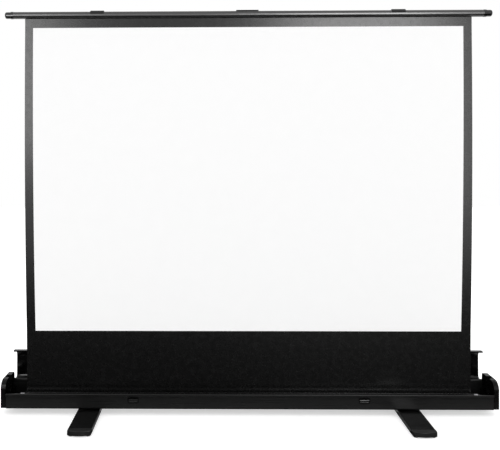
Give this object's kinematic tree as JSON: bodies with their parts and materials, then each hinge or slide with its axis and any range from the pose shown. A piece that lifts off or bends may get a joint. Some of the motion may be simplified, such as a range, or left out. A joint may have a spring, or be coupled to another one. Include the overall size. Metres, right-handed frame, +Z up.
{
  "type": "pull-up projection screen",
  "caption": "Floor-standing projection screen pulled up from a low case by a scissor behind the fabric, with an open hinged lid and swivelling feet.",
  "frame": {"origin": "on the floor, under the middle of the fabric", "axes": "+X along the case to the viewer's right, -Y towards the viewer, +Z up"},
  "size_m": [1.852, 0.494, 1.519],
  "materials": {
    "moulded_black": "semi-gloss moulded",
    "black_aluminium": "black satin anodised",
    "painted_steel": "satin black",
    "bright_steel": "zinc plated",
    "raw_aluminium": "mill finish",
    "screen_fabric": "matte white viewing area inside a semi-gloss black border",
    "border_fabric": "semi-gloss black",
    "nylon": "natural",
    "rubber": "matte black"
  },
  "bodies": {
    "housing": {"case_body": "black_aluminium", "end_cap_left": "moulded_black", "end_cap_right": "moulded_black", "latch_cup_left": "moulded_black", "latch_cup_right": "moulded_black", "lid_hinge_rod": "bright_steel", "foot_washer_left": "nylon", "foot_washer_right": "nylon", "foot_bolt_left": "bright_steel", "foot_bolt_right": "bright_steel", "foot_nut_left": "bright_steel", "foot_nut_right": "bright_steel", "roller_bracket_left": "painted_steel", "roller_bracket_right": "painted_steel", "spring_shaft": "bright_steel", "roller_spring": "bright_steel", "base_rail": "raw_aluminium", "base_pivot_stud": "bright_steel", "screen_fabric": "screen_fabric"},
    "cover": {"lid": "black_aluminium"},
    "foot_left": {"foot_beam_left": "black_aluminium", "foot_nose_front_left": "moulded_black", "foot_nose_back_left": "moulded_black"},
    "foot_right": {"foot_beam_right": "black_aluminium", "foot_nose_front_right": "moulded_black", "foot_nose_back_right": "moulded_black"},
    "latch_left": {"latch_paddle_left": "moulded_black"},
    "latch_right": {"latch_paddle_right": "moulded_black"},
    "roller": {"roller_tube": "raw_aluminium", "fabric_wraps": "border_fabric", "roller_idler_plug": "moulded_black", "roller_spring_plug": "moulded_black"},
    "lower_front": {"lower_front_arm": "painted_steel", "lower_cross_rivet": "bright_steel", "middle_right_rivet": "bright_steel"},
    "lower_back": {"lower_back_arm": "painted_steel", "middle_left_rivet": "bright_steel", "base_slide_pin": "bright_steel", "base_slide_button": "nylon"},
    "upper_back": {"upper_back_arm": "painted_steel", "upper_cross_rivet": "bright_steel"},
    "upper_front": {"upper_front_arm": "painted_steel", "top_slide_pin": "bright_steel", "top_slide_button": "nylon"},
    "bar": {"top_bar": "black_aluminium", "bar_cap_left": "moulded_black", "bar_cap_right": "moulded_black", "fabric_spline": "nylon", "pull_grip": "moulded_black", "bar_bumper_left": "rubber", "bar_bumper_right": "rubber", "top_rail": "raw_aluminium", "rail_hanger_left": "painted_steel", "rail_hanger_right": "painted_steel", "top_pivot_stud": "bright_steel"}
  },
  "joints": [
    {"name": "lift", "type": "hinge", "parent": "housing", "child": "lower_front", "pos_m": [-0.21379, 0.017, 0.038], "axis": [0, 1, 0], "range_deg": [0, 57.3], "deforming": ["screen_fabric"]},
    {"name": "lower_cross", "type": "hinge", "parent": "lower_front", "child": "lower_back", "pos_m": [0, 0.023, 0.3995], "axis": [0, 1, 0], "range_deg": [-115.8, 0]},
    {"name": "middle_right", "type": "hinge", "parent": "lower_front", "child": "upper_back", "pos_m": [0.21379, 0.023, 0.761], "axis": [0, 1, 0], "range_deg": [-115.8, 0]},
    {"name": "upper_cross", "type": "hinge", "parent": "upper_back", "child": "upper_front", "pos_m": [0, 0.017, 1.1225], "axis": [0, 1, 0], "range_deg": [0, 115.8]},
    {"name": "bar_level", "type": "hinge", "parent": "upper_back", "child": "bar", "pos_m": [-0.21379, 0.023, 1.484], "axis": [0, 1, 0], "range_deg": [0, 57.9]},
    {"name": "roller_spin", "type": "hinge", "parent": "housing", "child": "roller", "pos_m": [0, -0.0223, 0.053], "axis": [1, 0, 0], "range_deg": [-3380, 0]},
    {"name": "lid_hinge", "type": "hinge", "parent": "housing", "child": "cover", "pos_m": [0, 0.058, 0.097], "axis": [1, 0, 0], "range_deg": [0, 8]},
    {"name": "foot_left_swivel", "type": "hinge", "parent": "housing", "child": "foot_left", "pos_m": [-0.5967, 0, 0.0215], "axis": [0, 0, 1], "range_deg": [0, 90]},
    {"name": "foot_right_swivel", "type": "hinge", "parent": "housing", "child": "foot_right", "pos_m": [0.5967, 0, 0.0215], "axis": [0, 0, 1], "range_deg": [-90, 0]},
    {"name": "latch_left_pull", "type": "hinge", "parent": "housing", "child": "latch_left", "pos_m": [-0.4302, -0.0541, 0.0524], "axis": [1, 0, 0], "range_deg": [0, 35], "stiffness_Nm_per_rad": 0.02, "springref_deg": -5.73},
    {"name": "latch_right_pull", "type": "hinge", "parent": "housing", "child": "latch_right", "pos_m": [0.4302, -0.0541, 0.0524], "axis": [1, 0, 0], "range_deg": [0, 35], "stiffness_Nm_per_rad": 0.02, "springref_deg": -5.73}
  ],
  "couplings": [
    {"joint": "lower_cross", "follows": "lift", "ratio": -2},
    {"joint": "middle_right", "follows": "lift", "ratio": -2},
    {"joint": "upper_cross", "follows": "lift", "ratio": 2},
    {"joint": "bar_level", "follows": "lift", "ratio": 1},
    {"joint": "roller_spin", "follows": "lift", "ratio": -58.3}
  ]
}
